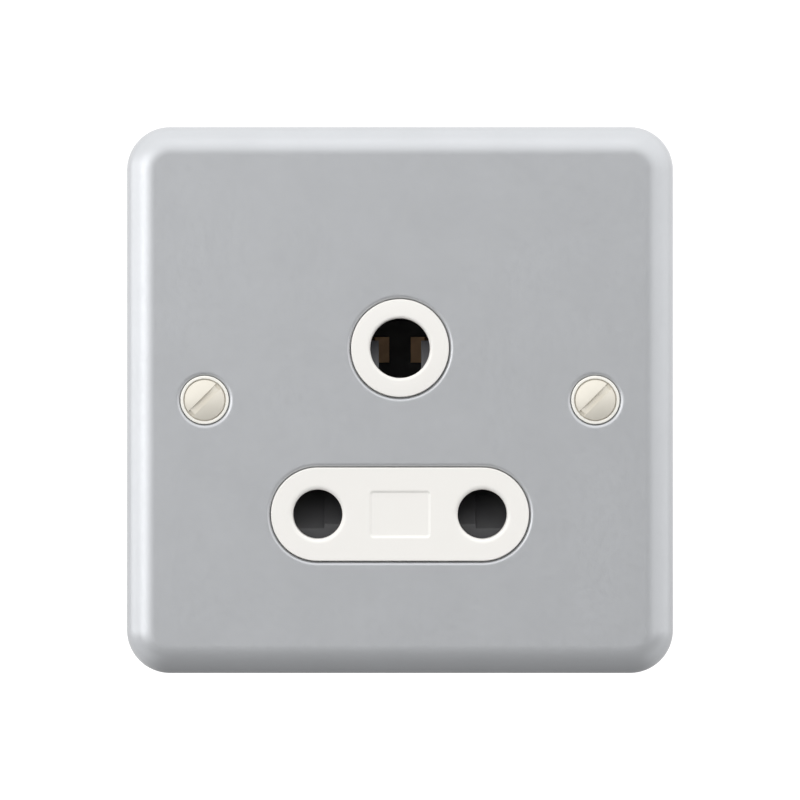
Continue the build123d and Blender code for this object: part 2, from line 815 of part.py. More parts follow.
def build():
    pieces = {}
    pieces["front_plate"] = make_front_plate()
    pieces["plate_pillar_right"] = make_pillar()
    pieces["plate_pillar_left"] = mirrored(make_pillar())
    pieces["front_moulding"] = make_front_moulding()
    pieces["base_moulding"] = make_base_moulding()
    pieces["shutter"] = make_shutter()
    pieces["shutter_spring"] = make_spring()
    # Seen from the front, live is on the right and neutral on the left
    for name, x in (("live", line_x), ("neutral", -line_x)):
        place = Pos(x, 0, 0)
        where = (line_terminal_bottom, line_terminal_top, line_terminal_front)
        pieces[name + "_contact"] = place * make_line_contact()
        pieces[name + "_contact_clip"] = place * make_line_clip()
        pieces[name + "_terminal"] = place * make_terminal(*where)
        pieces[name + "_terminal_screw"] = place * make_terminal_screw(*where)
    where = (earth_terminal_bottom, earth_terminal_top, earth_terminal_front)
    pieces["earth_contact"] = make_earth_contact()
    pieces["earth_contact_clip"] = make_earth_clip()
    pieces["earth_terminal"] = make_terminal(*where)
    pieces["earth_terminal_screw"] = make_terminal_screw(*where)
    pieces["earth_strap"] = make_earth_strap()
    pieces["assembly_screw_left"] = make_assembly_screw(-1, pocket_back)
    pieces["assembly_screw_right"] = make_assembly_screw(1, pocket_back + strap_thickness)
    for name, x in (("left", -fixing_centres / 2), ("right", fixing_centres / 2)):
        pieces["fixing_screw_" + name] = make_fixing_screw(x)
        pieces["retaining_washer_" + name] = make_retaining_washer(x)
    return pieces


os.makedirs("parts", exist_ok=True)
for node, piece in build().items():
    export_step(piece, f"parts/{node}.step")
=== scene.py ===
"""Looks of the metal clad round pin socket outlet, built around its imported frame. Metres."""

import json
import math

import bmesh
import bpy
from mathutils import Matrix, Vector


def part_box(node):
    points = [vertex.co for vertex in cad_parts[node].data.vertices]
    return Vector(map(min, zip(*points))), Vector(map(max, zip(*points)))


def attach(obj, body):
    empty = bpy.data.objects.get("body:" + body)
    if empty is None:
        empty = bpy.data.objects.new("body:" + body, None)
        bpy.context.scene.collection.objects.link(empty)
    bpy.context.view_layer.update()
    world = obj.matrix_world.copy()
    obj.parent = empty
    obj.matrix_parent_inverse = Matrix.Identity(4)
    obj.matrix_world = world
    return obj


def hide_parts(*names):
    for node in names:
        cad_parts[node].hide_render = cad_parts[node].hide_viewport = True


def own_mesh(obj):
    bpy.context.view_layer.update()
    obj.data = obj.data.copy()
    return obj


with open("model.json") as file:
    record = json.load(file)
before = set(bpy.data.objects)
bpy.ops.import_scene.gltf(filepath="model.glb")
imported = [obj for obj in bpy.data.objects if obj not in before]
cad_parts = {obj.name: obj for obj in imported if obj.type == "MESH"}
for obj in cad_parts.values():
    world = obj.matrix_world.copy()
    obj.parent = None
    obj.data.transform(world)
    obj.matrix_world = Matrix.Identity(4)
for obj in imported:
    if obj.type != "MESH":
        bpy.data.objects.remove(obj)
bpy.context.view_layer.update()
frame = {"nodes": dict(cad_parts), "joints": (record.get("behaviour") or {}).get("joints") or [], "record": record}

MM = 0.001
mounts = {m["name"]: m for m in frame["record"]["mounts"]}

# Where things are, read from the frame
plate_low, plate_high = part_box("front_plate")
moulding_low, moulding_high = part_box("front_moulding")
shutter_low, shutter_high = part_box("shutter")
shutter_travel = frame["joints"][0]["range_m"][1]
face_y = plate_low.y
plate_half = plate_high.x
pin_holes = {
    name: (
        mounts[name + "_pin_hole"]["pos_m"][0],
        mounts[name + "_pin_hole"]["pos_m"][2],
        mounts[name + "_pin_hole"]["dims"]["r_mm"] * MM,
    )
    for name in ("earth", "live", "neutral")
}

# Pressed plate
sheet = 1.2 * MM
sheet_edge = 0.12 * MM
plan_radius = 6.7 * MM
edge_width = 4.35 * MM
edge_depth = 3.9 * MM
rolled_width = 0.6 * MM
rolled_depth = 0.6 * MM
dimple_roll_width = 0.6 * MM
dimple_roll_depth = 0.4 * MM
aperture_gap = 0.1 * MM
dimple_gap = 0.08 * MM
dimple_depth = 0.75 * MM
dimple_hole = 2.0 * MM
dimple_corner = 0.25 * MM

# White moulding
ring_radius = 7.55 * MM
oblong_radius = 7.2 * MM
insert_edge = 0.15 * MM
earth_rim = 0.5 * MM
line_rim = 0.75 * MM
line_rim_depth = 0.5 * MM
flange_thickness = 2.4 * MM
moulding_wall = 1.6 * MM
moulding_corner = 3.0 * MM
moulding_edge = 0.15 * MM
shoulder_half_width = 12.0 * MM
shoulder_height = 10.0 * MM
tube_wall = 1.5 * MM
pillar_gap = 0.2 * MM
panel_half_width = 4.8 * MM
panel_half_height = 3.72 * MM
panel_depth = 0.18 * MM
panel_corner = 0.7 * MM
panel_slope = 0.5 * MM
flag_cover = 0.25 * MM
guide_gap = 0.3 * MM
guide_width = 1.2 * MM
stop_width = 2.3 * MM
stop_height = 1.7 * MM

# Fixing screws
flange_height = 0.7 * MM
flange_trim = 0.15 * MM
dome_radius = 3.04 * MM
dome_step = 0.12 * MM
dome_groove = 0.19 * MM
dome_groove_depth = 0.5 * MM
flange_edge = 0.14 * MM
neck_radius = 1.4 * MM
neck_length = 2.7 * MM
fixing_thread = 1.75 * MM
fixing_pitch = 0.6 * MM
fixing_slot = 1.05 * MM
fixing_slot_angle = 45
slot_floor = 0.2 * MM
notch_start = 2.65 * MM
notch_end = 3.15 * MM
notch_depth = 0.3 * MM

# Terminal and assembly screws
terminal_thread = 2.0 * MM
terminal_pitch = 0.7 * MM
assembly_thread = 1.5 * MM
assembly_pitch = 0.5 * MM
head_height = 2.0 * MM
head_edge = 0.3 * MM
head_centre = 0.2 * MM
pan_rounding = 0.8
driver_slot = 0.9 * MM
driver_depth = 1.1 * MM

# Threads: depth as a part of the pitch, and slope of the flanks
thread_depth = 0.6
thread_slope = 1.25

# Spring that lifts the shutter
wire_radius = 0.2 * MM
spring_turns = 9
spring_closed_turns = 1

# How finely round forms are cut
ring_steps = 96
corner_steps = 16
fillet_steps = 8
bend_steps = 4
dome_steps = 16
flange_steps = 6
thread_steps = 32
thread_rows = 8
head_steps = 64
coil_steps = 36
wire_sides = 10
sharp_angle = math.radians(32)
weld_distance = 1e-7

# Band beside each rounded edge that keeps the shading of a flat face flat
flat_band = 0.12 * MM


def link(obj):
    bpy.context.scene.collection.objects.link(obj)
    return obj


def smooth_object(name, bm):
    """Object with smooth shading, made from a bmesh that isn't needed afterwards."""
    mesh = bpy.data.meshes.new(name)
    bm.to_mesh(mesh)
    bm.free()
    mesh.shade_smooth()
    return link(bpy.data.objects.new(name, mesh))


def circle(x, z, radius, steps=ring_steps):
    """Loop of X, Z points, anticlockwise seen from the front."""
    turns = (2 * math.pi * i / steps for i in range(steps))
    return [(x + radius * math.cos(t), z + radius * math.sin(t)) for t in turns]


def oblong(half_centres, z, radius, steps=ring_steps):
    """Round-ended loop, its ends centred half_centres either side of X = 0."""
    points = []
    for sign, start in ((1, -math.pi / 2), (-1, math.pi / 2)):
        for i in range(steps // 2 + 1):
            t = start + math.pi * i / (steps // 2)
            points.append((sign * half_centres + radius * math.cos(t), z + radius * math.sin(t)))
    return points


def rounded_rectangle(x, z, half_x, half_z, radius, steps=corner_steps):
    """Loop with rounded corners, anticlockwise seen from the front."""
    points = []
    for quarter, (sx, sz) in enumerate(((1, 1), (-1, 1), (-1, -1), (1, -1))):
        for i in range(steps + 1):
            t = math.pi / 2 * (quarter + i / steps)
            points.append(
                (
                    x + sx * (half_x - radius) + radius * math.cos(t),
                    z + sz * (half_z - radius) + radius * math.sin(t),
                )
            )
    return points


def rounded_polygon(corners, radius, inset, steps=corner_steps):
    """Convex outline, anticlockwise, moved inwards by inset. radius is that of its outer corners."""
    normals = []
    for (x0, z0), (x1, z1) in zip(corners, corners[1:] + corners[:1]):
        length = math.hypot(x1 - x0, z1 - z0)
        normals.append(((z1 - z0) / length, (x0 - x1) / length))
    points = []
    for i, (x, z) in enumerate(corners):
        (ax, az), (bx, bz) = normals[i - 1], normals[i]
        reach = radius / (1 + ax * bx + az * bz)
        begin = math.atan2(az, ax)
        turn = (math.atan2(bz, bx) - begin) % (2 * math.pi)
        for k in range(steps + 1):
            t = begin + turn * k / steps
            points.append(
                (
                    x - reach * (ax + bx) + (radius - inset) * math.cos(t),
                    z - reach * (az + bz) + (radius - inset) * math.sin(t),
                )
            )
    return points


def arc(start_inset, start_y, radius, begin, end, steps=fillet_steps, depth=None):
    """Section of a rounded edge: points of inset and Y about a centre, between two angles."""
    depth = radius if depth is None else depth
    points = []
    for i in range(steps + 1):
        t = math.radians(begin + (end - begin) * i / steps)
        points.append((start_inset + radius * math.cos(t), start_y + depth * math.sin(t)))
    return points


class Shell:
    """Closed surface put together from loops of points across the socket."""

    def __init__(self):
        self.bm = bmesh.new()

    def loop(self, points, y):
        return [self.bm.verts.new((x, y, z)) for x, z in points]

    def join(self, first, second):
        """Band of faces between two loops with as many points each."""
        count = len(first)
        for i in range(count):
            j = (i + 1) % count
            self.bm.faces.new((first[i], first[j], second[j], second[i]))

    def sleeve(self, path, section):
        """Join one loop per point of the section. path(inset) gives a loop. First and last come back."""
        loops = [self.loop(path(inset), y) for inset, y in section]
        for first, second in zip(loops, loops[1:]):
            self.join(first, second)
        return loops[0], loops[-1]

    def fill(self, *loops):
        """Flat face inside the first loop, less the others."""
        edges = []
        for verts in loops:
            for i, vert in enumerate(verts):
                other = verts[(i + 1) % len(verts)]
                edge = self.bm.edges.get((vert, other)) or self.bm.edges.new((vert, other))
                edges.append(edge)
        bmesh.ops.triangle_fill(self.bm, use_beauty=True, use_dissolve=False, edges=edges)

    def cap(self, loop, y):
        """Close a loop with a fan from its middle."""
        middle = sum((v.co for v in loop), Vector()) / len(loop)
        tip = self.bm.verts.new((middle.x, y, middle.z))
        for i, vert in enumerate(loop):
            self.bm.faces.new((vert, loop[(i + 1) % len(loop)], tip))

    def block(self, low, high):
        """Separate closed box between two corners."""
        corners = [(low[0], low[2]), (high[0], low[2]), (high[0], high[2]), (low[0], high[2])]
        front, back = self.loop(corners, low[1]), self.loop(corners, high[1])
        self.join(front, back)
        self.bm.faces.new(front)
        self.bm.faces.new(back)

    def tube(self, x, z, inner, outer, front, back):
        """Separate closed tube along Y."""
        rim = moulding_edge
        section = [(inner, front), (inner, back - rim), (inner + rim, back), (outer - rim, back)]
        section += [(outer, back - rim), (outer, front)]
        first, last = self.sleeve(lambda r: circle(x, z, r), section)
        self.join(last, first)

    def finish(self, name):
        bmesh.ops.remove_doubles(self.bm, verts=self.bm.verts[:], dist=weld_distance)
        bmesh.ops.recalc_face_normals(self.bm, faces=self.bm.faces[:])
        obj = smooth_object(name, self.bm)
        obj.data.set_sharp_from_angle(angle=sharp_angle)
        return obj


def dimple_section(seat_radius, back):
    """Section of a dimple: rolled in from the face to its seat and the screw's hole, then out behind."""
    edge = sheet_edge
    inner = dimple_corner
    outer = 2 * dimple_corner
    roll = seat_radius + dimple_roll_width
    seat = face_y + dimple_depth
    rear = back + dimple_depth
    boss = seat_radius + sheet - dimple_gap
    section = [(roll + flat_band, face_y)]
    section += arc(
        roll, face_y + dimple_roll_depth, -dimple_roll_width, 90, 0, depth=-dimple_roll_depth
    )
    section += arc(seat_radius - inner, seat - inner, inner, 0, 90, bend_steps)
    section += [(dimple_hole + edge, seat), (dimple_hole, seat + edge)]
    section += [(dimple_hole, rear - edge), (dimple_hole + edge, rear), (boss - outer, rear)]
    section += arc(boss - outer, rear - outer, outer, 90, 0, bend_steps)
    section += arc(boss + inner, back + inner, -inner, 0, -90, bend_steps, depth=inner)
    section += [(boss + inner + flat_band, back)]
    return section


def build_plate():
    """The pressed plate: rounded rim, turned-back skirt, apertures with rolled edges, two dimples."""
    shell = Shell()
    back = face_y + sheet
    rear = plate_high.y
    edge = sheet_edge

    def square(inset):
        half = plate_half - inset
        return rounded_rectangle(0, 0, half, half, plan_radius - inset)

    middle_y = face_y + edge_depth
    section = [(edge_width + flat_band, face_y)]
    section += arc(edge_width, middle_y, -edge_width, 90, 0, 2 * fillet_steps, -edge_depth)
    section += [(0, rear - edge), (edge, rear), (sheet - edge, rear), (sheet, rear - edge)]
    section += arc(
        edge_width, middle_y, sheet - edge_width, 0, 90, 2 * fillet_steps, sheet - edge_depth
    )
    section += [(edge_width + flat_band, back)]
    front_loop, back_loop = shell.sleeve(square, section)
    front_holes, back_holes = [], []

    def hole(path, cut):
        """Opening through the sheet. path(grow) gives its loop, grown outwards, at the cut's points."""
        first, last = shell.sleeve(path, cut)
        front_holes.append(first)
        back_holes.append(last)

    rolled = [(rolled_width + flat_band, face_y)]
    rolled += arc(rolled_width, face_y + rolled_depth, -rolled_width, 90, 0, depth=-rolled_depth)
    rolled += [(0, back - edge), (edge, back), (edge + flat_band, back)]
    x, z, _ = pin_holes["earth"]
    hole(lambda grow: circle(x, z, ring_radius + aperture_gap + grow), rolled)
    line_x, line_z, _ = pin_holes["live"]
    hole(lambda grow: oblong(line_x, line_z, oblong_radius + aperture_gap + grow), rolled)
    for side in ("left", "right"):
        low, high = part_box("fixing_screw_" + side)
        screw_x = (low.x + high.x) / 2
        seat_radius = (high.x - low.x) / 2 - flange_trim + dimple_gap
        hole(lambda r: circle(screw_x, 0, r, head_steps), dimple_section(seat_radius, back))
    shell.fill(front_loop, *front_holes)
    shell.fill(back_loop, *back_holes)
    return shell.finish("pressed_plate")


def raise_ring(shell, front, back):
    """Earth ring and its hole, one turned form. Gives its loops at the flange's front and back."""
    x, z, hole = pin_holes["earth"]
    top = moulding_low.y
    section = [(ring_radius, front), (ring_radius, top + insert_edge)]
    section += arc(ring_radius - insert_edge, top + insert_edge, insert_edge, 0, -90)[1:]
    section += [(hole + earth_rim + flat_band, top)]
    section += arc(hole + earth_rim, top + earth_rim, -earth_rim, 90, 0)
    section += [(hole, back)]
    return shell.sleeve(lambda r: circle(x, z, r), section)


def recess_panel(shell, z, top):
    """Bare recessed panel. Its sides slope, in the form of a soft S. Gives its loop in the face."""
    section = [(-flat_band, top)]
    for i in range(fillet_steps + 1):
        share = i / fillet_steps
        section.append((panel_slope * share, top + panel_depth * (1 - math.cos(math.pi * share)) / 2))
    section += [(panel_slope + flat_band, top + panel_depth)]

    def outline(inset):
        half_x, half_z = panel_half_width - inset, panel_half_height - inset
        return rounded_rectangle(0, z, half_x, half_z, panel_corner - inset)

    first, last = shell.sleeve(outline, section)
    shell.fill(last)
    return first


def raise_oblong(shell, front, back):
    """Oblong with two line holes and the panel. Gives its front loop, and the holes' at the back."""
    x, z, hole = pin_holes["live"]
    top = moulding_low.y
    section = [(0, front), (0, top + insert_edge)]
    section += arc(insert_edge, top + insert_edge, -insert_edge, 0, 90)[1:]
    section += [(insert_edge + flat_band, top)]
    outline, face_outline = shell.sleeve(lambda inset: oblong(x, z, oblong_radius - inset), section)
    section = [(hole + line_rim + flat_band, top)]
    section += arc(
        hole + line_rim, top + line_rim_depth, -line_rim, 90, 0, depth=-line_rim_depth
    )
    section += [(hole, back)]
    face_holes, hole_backs = [], []
    for side in (-1, 1):
        first, last = shell.sleeve(lambda r: circle(side * x, z, r), section)
        face_holes.append(first)
        hole_backs.append(last)
    face_holes.append(recess_panel(shell, z, top))
    shell.fill(face_outline, *face_holes)
    return outline, hole_backs


def add_guides(shell, back):
    """Guides beside the shutter, and the stops over its flags."""
    _, line_z, hole = pin_holes["live"]
    end = moulding_high.y - guide_gap
    low_end = shutter_low.z - shutter_travel - guide_gap
    high_end = line_z + hole + flag_cover + guide_gap + stop_height
    near = shutter_high.x + guide_gap
    bars = (near, near + guide_width, low_end), (near - stop_width, near, high_end - stop_height)
    for side in (-1, 1):
        for inner, outer, low in bars:
            left, right = sorted((side * inner, side * outer))
            shell.block((left, back, low), (right, end, high_end))


def build_moulding():
    """The white front: ring and oblong with rounded rims, flange, walls, screw tubes and guides."""
    shell = Shell()
    front = face_y + sheet
    back = front + flange_thickness
    joint = moulding_high.y
    edge = moulding_edge
    outline = [
        (moulding_low.x, moulding_low.z),
        (moulding_high.x, moulding_low.z),
        (moulding_high.x, shoulder_height),
        (shoulder_half_width, moulding_high.z),
        (-shoulder_half_width, moulding_high.z),
        (moulding_low.x, shoulder_height),
    ]
    section = [(edge, front), (0, front + edge), (0, joint - edge), (edge, joint)]
    section += [(moulding_wall - edge, joint), (moulding_wall, joint - edge)]
    section += [(moulding_wall, back - edge), (moulding_wall + edge, back)]
    front_outline, back_outline = shell.sleeve(
        lambda inset: rounded_polygon(outline, moulding_corner, inset), section
    )
    ring_front, ring_back = raise_ring(shell, front, back)
    oblong_front, line_backs = raise_oblong(shell, front, back)
    front_holes = [ring_front, oblong_front]
    back_holes = [ring_back, *line_backs]
    # Tubes round the plate's pillars
    for side in ("left", "right"):
        low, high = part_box("plate_pillar_" + side)
        x, z = (low.x + high.x) / 2, (low.z + high.z) / 2
        bore = (high.x - low.x) / 2 + pillar_gap
        first, last = shell.sleeve(lambda r: circle(x, z, r), [(bore, front), (bore, back)])
        front_holes.append(first)
        back_holes.append(last)
        shell.tube(x, z, bore, bore + tube_wall, back, joint)
    shell.fill(front_outline, *front_holes)
    shell.fill(back_outline, *back_holes)
    add_guides(shell, back)
    return shell.finish("white_front")


def threaded(x, z, radius, pitch, begin, end, depth):
    """Loops of a screw thread from one Y to another: a turn later it is one pitch further on."""
    rows = int(abs(end - begin) / pitch * thread_rows)
    section = []
    for i in range(rows + 1):
        y = begin + (end - begin) * i / rows
        fade = min(1, abs(y - begin) / pitch, abs(y - end) / pitch)
        points = []
        for k in range(thread_steps):
            phase = (y / pitch - k / thread_steps) % 1
            cut = depth * max(0, 1 - abs(2 * phase - 1) * thread_slope) * fade
            t = 2 * math.pi * k / thread_steps
            points.append((x + (radius - cut) * math.cos(t), z + (radius - cut) * math.sin(t)))
        section.append((points, y))
    return section


def build_screw(name, x, z, head, thread):
    """Turned screw: a head's radius and Y points from its crown inwards, then a thread to the tip."""
    radius, pitch, begin, end = thread
    shell = Shell()
    loops = [shell.loop(circle(x, z, r, head_steps), y) for r, y in head]
    for first, second in zip(loops, loops[1:]):
        shell.join(first, second)
    shell.cap(loops[0], head[0][1])
    shell.cap(loops[-1], head[-1][1])
    rows = [
        shell.loop(points, y)
        for points, y in threaded(x, z, radius, pitch, begin, end, pitch * thread_depth)
    ]
    for first, second in zip(rows, rows[1:]):
        shell.join(first, second)
    point = 1 if end > begin else -1
    nose = shell.loop(circle(x, z, radius - head_edge, thread_steps), end + point * head_edge)
    shell.join(rows[-1], nose)
    shell.cap(nose, end + point * head_edge)
    shell.cap(rows[0], begin)
    return shell.finish(name)


def cut_slot(obj, x, z, front, back, begin, end, width, angle=0.0):
    """Take a bar from begin to end along its length, turned about Y, out of a screw's head."""
    shell = Shell()
    shell.block((begin, front, -width / 2), (end, back, width / 2))
    cutter = shell.finish("cutter")
    cutter.data.transform(Matrix.Rotation(math.radians(-angle), 4, "Y"))
    cutter.data.transform(Matrix.Translation((x, 0, z)))
    modifier = obj.modifiers.new("slot", "BOOLEAN")
    modifier.operation = "DIFFERENCE"
    modifier.solver = "EXACT"
    modifier.object = cutter
    bpy.context.view_layer.update()
    cut = bpy.data.meshes.new_from_object(obj.evaluated_get(bpy.context.evaluated_depsgraph_get()))
    obj.modifiers.clear()
    obj.data = cut
    cut.shade_smooth()
    cut.set_sharp_from_angle(angle=sharp_angle)
    bpy.data.objects.remove(cutter)


def build_fixing_screw(side):
    """Captive screw with a round-edged flange and a low slotted dome that stands on a small step."""
    low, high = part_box("fixing_screw_" + side)
    x = (low.x + high.x) / 2
    flange_radius = (high.x - low.x) / 2 - flange_trim
    crown = low.y
    rim = face_y + dimple_depth - flange_height
    seat = face_y + dimple_depth
    rise = rim - dome_step / 2 - crown
    ball = (dome_radius**2 + rise**2) / (2 * rise)
    sweep_angle = math.asin(dome_radius / ball)
    head = []
    for i in range(1, dome_steps + 1):
        t = sweep_angle * i / dome_steps
        head.append((ball * math.sin(t), crown + ball * (1 - math.cos(t))))
    shoulder = dome_radius + dome_step / 3
    ledge = shoulder + dome_groove
    groove_floor = rim + dome_groove_depth
    edge = flange_edge
    head += [(shoulder, rim - dome_step / 3), (shoulder, groove_floor), (ledge, groove_floor)]
    head += [(ledge, rim + edge / 2), (ledge + edge / 2, rim)]
    head += [(flange_radius - edge - flat_band, rim)]
    head += arc(flange_radius - edge, rim + edge, edge, -90, 0, flange_steps)
    head += [(flange_radius, seat - edge / 3), (flange_radius - edge / 3, seat)]
    head += [(neck_radius, seat), (neck_radius, seat + neck_length + head_edge)]
    thread = (fixing_thread, fixing_pitch, seat + neck_length, high.y - head_edge)
    screw = build_screw("slotted_screw_" + side, x, 0, head, thread)
    # The slot's floor is above the flange, and drops in a notch at each end
    floor_y = rim - slot_floor
    notch_y = rim + notch_depth
    for begin, end, back in (
        (-2 * dome_radius, 2 * dome_radius, floor_y),
        (-notch_end, -notch_start, notch_y),
        (notch_start, notch_end, notch_y),
    ):
        cut_slot(screw, x, 0, crown - MM, back, begin, end, fixing_slot, fixing_slot_angle)
    # Finishes: 0 on the dome, 1 on the flange, a smoother nickel with painted light in its paler colour, and 2 on
    # the shank
    for face in screw.data.polygons:
        middle = face.center
        if middle.y > seat - edge / 10:
            face.material_index = 2
        elif math.hypot(middle.x - x, middle.z) > shoulder + dome_groove / 2:
            face.material_index = 1
    return screw


def build_driven_screw(node, name, thread_radius, pitch, round_head, cross):
    """Screw whose head faces the rear, slotted or with a cross recess."""
    low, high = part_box(node)
    x, z = (low.x + high.x) / 2, (low.z + high.z) / 2
    radius = (high.x - low.x) / 2
    top = high.y
    seat = top - head_height
    edge = head_height * pan_rounding if round_head else head_edge
    head = [(head_centre, top), (radius - edge, top)]
    head += arc(radius - edge, top - edge, edge, 90, 0)[1:]
    head += [(radius, seat), (thread_radius, seat), (thread_radius, seat - head_edge)]
    thread = (thread_radius, pitch, seat, low.y + head_edge)
    screw = build_screw(name, x, z, head, thread)
    reach = thread_radius if cross else 2 * radius
    for turn in (0, 90) if cross else (0,):
        cut_slot(screw, x, z, top - driver_depth, top + MM, -reach, reach, driver_slot, turn)
    return screw


def build_spring():
    """Coil of round wire with closed ends, under the shutter's bridge."""
    low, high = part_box("shutter_spring")
    x, y = (low.x + high.x) / 2, (low.y + high.y) / 2
    coil_radius = (high.x - low.x) / 2 - wire_radius
    bottom, top = low.z + wire_radius, high.z - wire_radius
    closed = 2 * wire_radius * spring_closed_turns
    total = spring_turns * coil_steps
    bm = bmesh.new()
    rings = []
    for i in range(total + 1):
        turn = i / coil_steps
        if turn < spring_closed_turns:
            z = bottom + closed * turn / spring_closed_turns
        elif turn > spring_turns - spring_closed_turns:
            z = top - closed * (spring_turns - turn) / spring_closed_turns
        else:
            share = (turn - spring_closed_turns) / (spring_turns - 2 * spring_closed_turns)
            z = bottom + closed + (top - bottom - 2 * closed) * share
        t = 2 * math.pi * turn
        outwards = Vector((math.cos(t), math.sin(t), 0))
        middle = Vector((x, y, z)) + outwards * coil_radius
        ring = []
        for k in range(wire_sides):
            a = 2 * math.pi * k / wire_sides
            offset = outwards * math.cos(a) + Vector((0, 0, 1)) * math.sin(a)
            ring.append(bm.verts.new(middle + offset * wire_radius))
        rings.append(ring)
    for first, second in zip(rings, rings[1:]):
        for k in range(wire_sides):
            j = (k + 1) % wire_sides
            bm.faces.new((first[k], first[j], second[j], second[k]))
    bm.faces.new(rings[0])
    bm.faces.new(rings[-1])
    bmesh.ops.recalc_face_normals(bm, faces=bm.faces[:])
    return smooth_object("coil_spring", bm)


dressed = []


def stand_in(obj, node, slot):
    """Let a finished piece replace a node of the fixed body."""
    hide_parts(node)
    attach(obj, "socket")
    dressed.append((obj, slot))


stand_in(build_plate(), "front_plate", "plate_paint")
stand_in(build_moulding(), "front_moulding", "white_moulding")
for side in ("left", "right"):
    stand_in(build_fixing_screw(side), "fixing_screw_" + side, "nickel")
    node = "assembly_screw_" + side
    screw = build_driven_screw(node, "pan_head_" + side, assembly_thread, assembly_pitch, True, True)
    stand_in(screw, node, "zinc_steel")
for terminal in ("earth", "live", "neutral"):
    node = terminal + "_terminal_screw"
    name = terminal + "_cheese_head"
    screw = build_driven_screw(node, name, terminal_thread, terminal_pitch, False, False)
    stand_in(screw, node, "brass_screw")
spring = build_spring()
stand_in(spring, "shutter_spring", "spring_steel")
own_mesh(spring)


# Shared by all finishes: the patches' width in grains, and the part of each noise that is used
patch_width = 12
patch_band = (0.35, 0.65)
grain_band = (0.3, 0.7)
coat_roughness = 0.16
bevel_samples = 6
finishes = {}


def nodes_of(name):
    """New material, with its node tree and its shader."""
    material = bpy.data.materials.new(name)
    material.use_nodes = True
    tree = material.node_tree
    shader = tree.nodes["Principled BSDF"]
    return material, tree, shader


def split_place(tree):
    """Position in the object's own space, whole and as three parts."""
    place = tree.nodes.new("ShaderNodeTexCoord").outputs["Object"]
    split = tree.nodes.new("ShaderNodeSeparateXYZ")
    tree.links.new(place, split.inputs[0])
    return place, split.outputs


def speckle(tree, scale, detail, stretch=(1, 1, 1)):
    """Noise in the object's own space, so it is the same from every side."""
    place = tree.nodes.new("ShaderNodeTexCoord").outputs["Object"]
    mapping = tree.nodes.new("ShaderNodeMapping")
    mapping.inputs["Scale"].default_value = stretch
    noise = tree.nodes.new("ShaderNodeTexNoise")
    noise.inputs["Scale"].default_value = scale
    noise.inputs["Detail"].default_value = detail
    tree.links.new(place, mapping.inputs["Vector"])
    tree.links.new(mapping.outputs["Vector"], noise.inputs["Vector"])
    return noise.outputs["Fac"]


def ramp(tree, value, span, first, second, smooth=False):
    """Value over the span's two ends, mapped to run from first to second."""
    node = tree.nodes.new("ShaderNodeMapRange")
    if smooth:
        node.interpolation_type = "SMOOTHSTEP"
    node.inputs["From Min"].default_value = span[0]
    node.inputs["From Max"].default_value = span[1]
    node.inputs["To Min"].default_value = first
    node.inputs["To Max"].default_value = second
    tree.links.new(value, node.inputs["Value"])
    return node.outputs["Result"]


def maths(tree, operation, first, second):
    node = tree.nodes.new("ShaderNodeMath")
    node.operation = operation
    tree.links.new(first, node.inputs[0])
    tree.links.new(second, node.inputs[1])
    return node.outputs[0]


def blend_colour(tree, value, first, second):
    """Colour between first and second. The mix node's colours are inputs 6 and 7 and output 2."""
    node = tree.nodes.new("ShaderNodeMix")
    node.data_type = "RGBA"
    node.inputs[6].default_value = (*first, 1)
    node.inputs[7].default_value = (*second, 1)
    tree.links.new(value, node.inputs[0])
    return node.outputs[2]


def bump(tree, height, strength, distance, normal=None):
    node = tree.nodes.new("ShaderNodeBump")
    node.inputs["Strength"].default_value = strength
    node.inputs["Distance"].default_value = distance
    tree.links.new(height, node.inputs["Height"])
    if normal is not None:
        tree.links.new(normal, node.inputs["Normal"])
    return node.outputs["Normal"]


def worn_edges(tree, radius):
    """Slightly rounded edges, so that solid edges catch the light as moulded ones do."""
    node = tree.nodes.new("ShaderNodeBevel")
    node.samples = bevel_samples
    node.inputs["Radius"].default_value = radius
    return node.outputs["Normal"]


def linear(colour):
    """Colour as seen, 0 to 255, turned into the scene's own linear scale."""
    return tuple(((c / 255 + 0.055) / 1.055) ** 2.4 if c > 10 else c / 255 / 12.92 for c in colour)


def paint_light_above(tree, colour, heights, gain):
    """Painted light: the colour as it is below the first height, and times gain above the second, so that the
    higher parts look better lit.
    """
    _, (_, _, height) = split_place(tree)
    scale = tree.nodes.new("ShaderNodeVectorMath")
    scale.operation = "SCALE"
    tree.links.new(colour, scale.inputs[0])
    tree.links.new(ramp(tree, height, heights, 1.0, gain), scale.inputs["Scale"])
    return scale.outputs[0]


